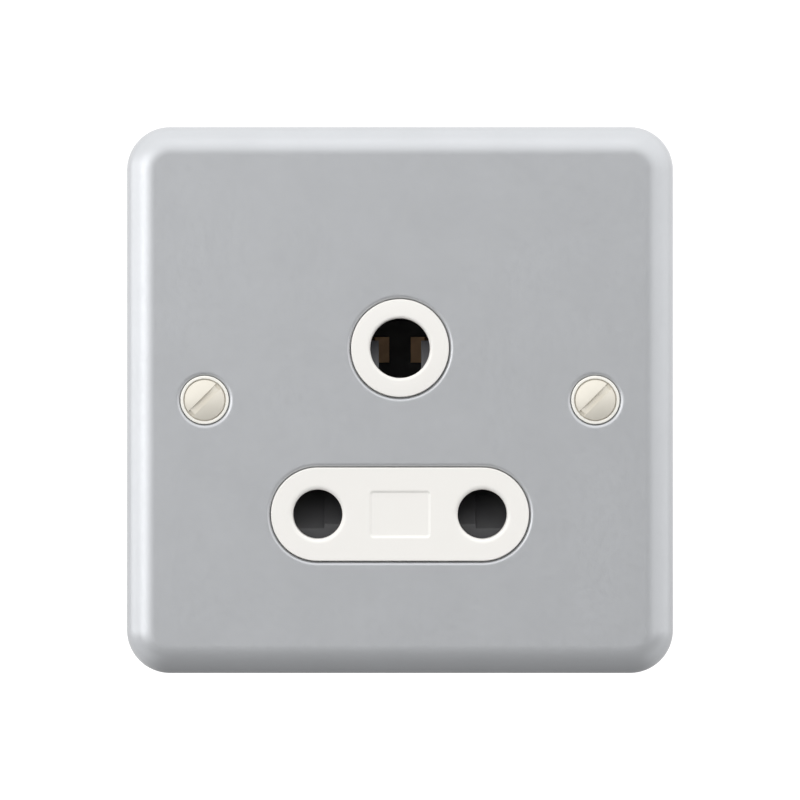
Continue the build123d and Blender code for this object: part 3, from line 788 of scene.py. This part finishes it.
def surface(
    name,
    colour,
    vary,
    rough,
    metallic=0.0,
    grain=900,
    grain_stretch=(1, 1, 1),
    bump_scale=1500,
    bump_strength=0.2,
    bump_distance=0.00002,
    edge=0.0,
    coat=0.0,
    painted_light=None,
):
    """Finish with a little variation of colour and roughness, and a fine bump, kept by its name.

    The colour is as seen, 0 to 255. vary is how much darker its patches get, rough is the least and
    the most roughness, and the last argument gives the heights and the gain of painted light, a colour made
    lighter higher up.
    """
    material, tree, shader = nodes_of(name)
    first = linear(colour)
    second = linear([c * (1 - vary) for c in colour])
    patches = speckle(tree, grain / patch_width, detail=4.0, stretch=grain_stretch)
    painted = blend_colour(tree, ramp(tree, patches, patch_band, 0, 1), first, second)
    if painted_light is not None:
        painted = paint_light_above(tree, painted, *painted_light)
    tree.links.new(painted, shader.inputs["Base Color"])
    fine = speckle(tree, grain, detail=3.0, stretch=grain_stretch)
    tree.links.new(ramp(tree, fine, grain_band, *rough), shader.inputs["Roughness"])
    shader.inputs["Metallic"].default_value = metallic
    shader.inputs["Coat Weight"].default_value = coat
    shader.inputs["Coat Roughness"].default_value = coat_roughness
    normal = worn_edges(tree, edge) if edge > 0 else None
    if bump_strength > 0:
        relief = speckle(tree, bump_scale, detail=2.0, stretch=grain_stretch)
        normal = bump(tree, relief, bump_strength, bump_distance, normal)
    if normal is not None:
        tree.links.new(normal, shader.inputs["Normal"])
    finishes[name] = material


surface(
    "plate_paint", (194, 196, 199), vary=0.012, rough=(0.34, 0.4), metallic=0.8, grain=1400,
    bump_scale=1300, bump_strength=0.15, bump_distance=0.00001, coat=0.3,
)
surface(
    "white_moulding", (238, 236, 232), vary=0.006, rough=(0.28, 0.32), grain=300, bump_scale=900,
    bump_strength=0.05, bump_distance=0.00001,
)
surface(
    "dark_moulding", (44, 45, 48), vary=0.12, rough=(0.4, 0.52), grain=900, bump_scale=2200,
    bump_strength=0.25, bump_distance=0.000015, edge=0.0003,
)
# The shutter is painted lighter above 3 mm: painted light on its arms, which stand deep in the earth hole
surface(
    "shutter_moulding", (64, 64, 66), vary=0.08, rough=(0.38, 0.48), grain=900, bump_scale=2200,
    bump_strength=0.15, bump_distance=0.00001, edge=0.00025, painted_light=((0.0, 0.003), 3.0),
)
surface(
    "brass", (214, 176, 112), vary=0.1, rough=(0.3, 0.36), metallic=1.0, grain=1500,
    grain_stretch=(1, 0.08, 1), bump_strength=0, edge=0.0001,
)
# The contacts' brass is rougher, and its darker, browner colour is painted shade for contacts deep in the pin
# holes
surface(
    "dull_brass_painted_shade", (188, 158, 127), vary=0.12, rough=(0.42, 0.5), metallic=1.0, grain=1500,
    grain_stretch=(1, 0.08, 1), bump_strength=0, edge=0.0001,
)
surface(
    "brass_screw", (222, 190, 128), vary=0.06, rough=(0.2, 0.3), metallic=1.0, grain=1500,
    bump_strength=0, edge=0.0001,
)
surface(
    "nickel", (224, 219, 207), vary=0.02, rough=(0.42, 0.48), metallic=0.14, grain=1800,
    bump_scale=2500, bump_strength=0.08, bump_distance=0.000006,
)
# The flange's nickel is smoother, and its paler colour is painted light for the light the flange catches
surface(
    "smooth_nickel_painted_light", (246, 244, 237), vary=0.02, rough=(0.3, 0.36), metallic=0.12, grain=1800,
    bump_scale=2500, bump_strength=0.08, bump_distance=0.000006,
)
surface(
    "nickel_shank", (206, 201, 190), vary=0.05, rough=(0.26, 0.34), metallic=1.0, grain=1800,
    bump_scale=2500, bump_strength=0.08, bump_distance=0.000006,
)
surface(
    "zinc_steel", (206, 208, 212), vary=0.08, rough=(0.24, 0.36), metallic=1.0, grain=1500,
    bump_strength=0, edge=0.0001,
)
surface(
    "spring_steel", (178, 178, 180), vary=0.1, rough=(0.28, 0.42), metallic=1.0, grain=1500,
    bump_strength=0,
)
surface(
    "washer_nylon", (226, 220, 204), vary=0.04, rough=(0.35, 0.45), grain=900, bump_scale=1500,
    bump_strength=0.1, bump_distance=0.00001, edge=0.00012,
)


def dress(obj, *names):
    """Give a piece its finishes. Each face keeps its choice among them."""
    chosen = [face.material_index for face in obj.data.polygons]
    obj.data.materials.clear()
    for name in names:
        obj.data.materials.append(finishes[name])
    obj.data.polygons.foreach_set("material_index", chosen)


slots = {entry["node"]: entry["material_slot"] for entry in frame["record"]["subparts"]}
# The contacts take the brass with painted shade in its colour
for node, obj in frame["nodes"].items():
    finish = finishes["dull_brass_painted_shade" if node.endswith("_contact") else slots[node]]
    if obj.material_slots:
        for held in obj.material_slots:
            held.material = finish
    else:
        obj.data.materials.append(finish)
for obj, slot in dressed:
    if slot == "nickel":
        dress(obj, "nickel", "smooth_nickel_painted_light", "nickel_shank")
    else:
        dress(obj, slot)


# Camera at the photograph's square-on view, from its width in pixels and its pixels per metre
photo_width = 800
photo_scale = 6483.0
camera_distance = 0.9
camera_data = bpy.data.cameras.new("camera")
camera = link(bpy.data.objects.new("camera", camera_data))
camera_data.sensor_width = 36
camera_data.lens = camera_data.sensor_width * camera_distance / (photo_width / photo_scale)
camera.location = (0, face_y - camera_distance, 0)
camera.rotation_euler = (math.radians(90), 0, 0)
camera_data.clip_start = 0.05
camera_data.clip_end = 20
bpy.context.scene.camera = camera


def seen_directly(tree):
    """1 for rays from the camera and through clear things, otherwise 0."""
    path = tree.nodes.new("ShaderNodeLightPath")
    return maths(tree, "MAXIMUM", path.outputs["Is Camera Ray"], path.outputs["Is Transmission Ray"])


# Floor and backdrop: a grey tone to the lamps, and a glow that grows with distance
floor_height = -0.6
floor_front = -4.0
floor_joints = (-0.5, 0.4)
wall_y = 1.3
wall_top = 2.2
wall_bend = 0.5
wall_bend_steps = 12
sweep_half_width = 4.5
sweep_tone = 120
sweep_mottle = 4
glow_span = (0.1, 1.2)
glow_near = 0.74
glow_far = 0.97

# How much of that glow reflections see: least from below, more at the sides, all from the backdrop
mirrored_below = 0.2
mirrored_left = 0.75
mirrored_right = 0.62
left_span = (-0.02, -0.6)
right_span = (0.02, 0.6)
front_span = (-1.4, -0.4)
rise_span = (-0.25, 0.0)


def sweep_finish():
    """Grey to the lamps, white to the camera and in reflections; a little less near the object."""
    material, tree, shader = nodes_of("floor_sweep")
    shader.inputs["Roughness"].default_value = 0.9
    mottle = speckle(tree, 6.0, detail=2.0)
    lighter = linear([sweep_tone] * 3)
    darker = linear([sweep_tone - sweep_mottle] * 3)
    tree.links.new(blend_colour(tree, mottle, lighter, darker), shader.inputs["Base Color"])
    place, (across, along, height) = split_place(tree)
    distance = tree.nodes.new("ShaderNodeVectorMath")
    distance.operation = "LENGTH"
    tree.links.new(place, distance.inputs[0])
    glow = ramp(tree, distance.outputs["Value"], glow_span, glow_near, glow_far)
    left = ramp(tree, across, left_span, 0, mirrored_left)
    right = ramp(tree, across, right_span, 0, mirrored_right)
    beside = maths(tree, "MAXIMUM", left, right)
    beside = maths(tree, "MULTIPLY", beside, ramp(tree, along, front_span, 0, 1))
    behind = ramp(tree, height, rise_span, mirrored_below, 1.0)
    level = maths(tree, "MAXIMUM", beside, behind)
    path = tree.nodes.new("ShaderNodeLightPath")
    mirrored = maths(tree, "MULTIPLY", path.outputs["Is Glossy Ray"], level)
    shown = maths(tree, "MAXIMUM", seen_directly(tree), mirrored)
    shader.inputs["Emission Color"].default_value = (1, 1, 1, 1)
    tree.links.new(maths(tree, "MULTIPLY", shown, glow), shader.inputs["Emission Strength"])
    return material


def build_sweep():
    """Floor that curves up into a backdrop behind the object."""
    section = [(y, floor_height) for y in (floor_front, *floor_joints)]
    for i in range(wall_bend_steps + 1):
        t = math.pi / 2 * i / wall_bend_steps
        section.append(
            (wall_y - wall_bend * (1 - math.sin(t)), floor_height + wall_bend * (1 - math.cos(t)))
        )
    section.append((wall_y, wall_top))
    bm = bmesh.new()
    rows = [
        [bm.verts.new((x, y, z)) for x in (-sweep_half_width, sweep_half_width)] for y, z in section
    ]
    for first, second in zip(rows, rows[1:]):
        bm.faces.new((first[0], first[1], second[1], second[0]))
    return smooth_object("floor_sweep", bm)


sweep = build_sweep()
sweep.data.materials.append(sweep_finish())


def lamp(name, position, size, level, mirrored=True):
    """Soft box. level is what it adds to a white surface that squarely faces it."""
    data = bpy.data.lights.new(name, "AREA")
    data.shape = "RECTANGLE"
    data.size, data.size_y = size
    away = Vector(position)
    data.energy = level * math.pi**2 * away.length_squared
    light = link(bpy.data.objects.new(name, data))
    light.visible_camera = False
    light.visible_glossy = mirrored
    light.location = away
    light.rotation_euler = (-away).to_track_quat("-Z", "Y").to_euler()


lamp("left_front_box", position=(-0.8, -0.86, 0.05), size=(0.42, 0.9), level=0.074)
lamp("top_front_box", position=(-0.1, -0.75, 0.95), size=(0.9, 0.5), level=0.02)
lamp("front_fill", position=(-0.3, -1.5, 0.5), size=(1.0, 0.8), level=0.12, mirrored=False)

# Light from the world, by direction: each part's level, and the span of X or Z where it grows
world_front = 0.455
world_below = 0.2
world_below_span = (-0.95, 0.0)
world_above = 1.38
world_above_span = (-0.05, 0.42)
world_right = 1.33
world_right_span = (0.05, 0.55)
world_left = 1.92
world_left_span = (0.05, -0.42)
world_left_upper = 0.66
world_left_upper_span = (0.1, 0.55)


def build_world():
    """Studio light by direction, and plain white where the camera looks past the object."""
    world = bpy.data.worlds.new("studio")
    bpy.context.scene.world = world
    world.use_nodes = True
    tree = world.node_tree
    background = tree.nodes["Background"]
    background.inputs["Color"].default_value = (1, 1, 1, 1)
    direction = tree.nodes.new("ShaderNodeTexCoord").outputs["Generated"]
    split = tree.nodes.new("ShaderNodeSeparateXYZ")
    tree.links.new(direction, split.inputs[0])
    across, _, height = split.outputs
    level = ramp(tree, height, world_below_span, world_below, world_front)
    above = ramp(tree, height, world_above_span, 0, world_above, smooth=True)
    right = ramp(tree, across, world_right_span, 0, world_right, smooth=True)
    left = ramp(tree, across, world_left_span, 0, world_left, smooth=True)
    fade = ramp(tree, height, world_left_upper_span, 1.0, world_left_upper, smooth=True)
    for glow in (above, maths(tree, "MULTIPLY", left, fade), right):
        level = maths(tree, "MAXIMUM", level, glow)
    # The mix node's plain numbers are inputs 2 and 3
    choice = tree.nodes.new("ShaderNodeMix")
    tree.links.new(seen_directly(tree), choice.inputs[0])
    tree.links.new(level, choice.inputs[2])
    choice.inputs[3].default_value = 1.0
    tree.links.new(choice.outputs[0], background.inputs["Strength"])


build_world()

bpy.context.scene.view_settings.view_transform = "Standard"
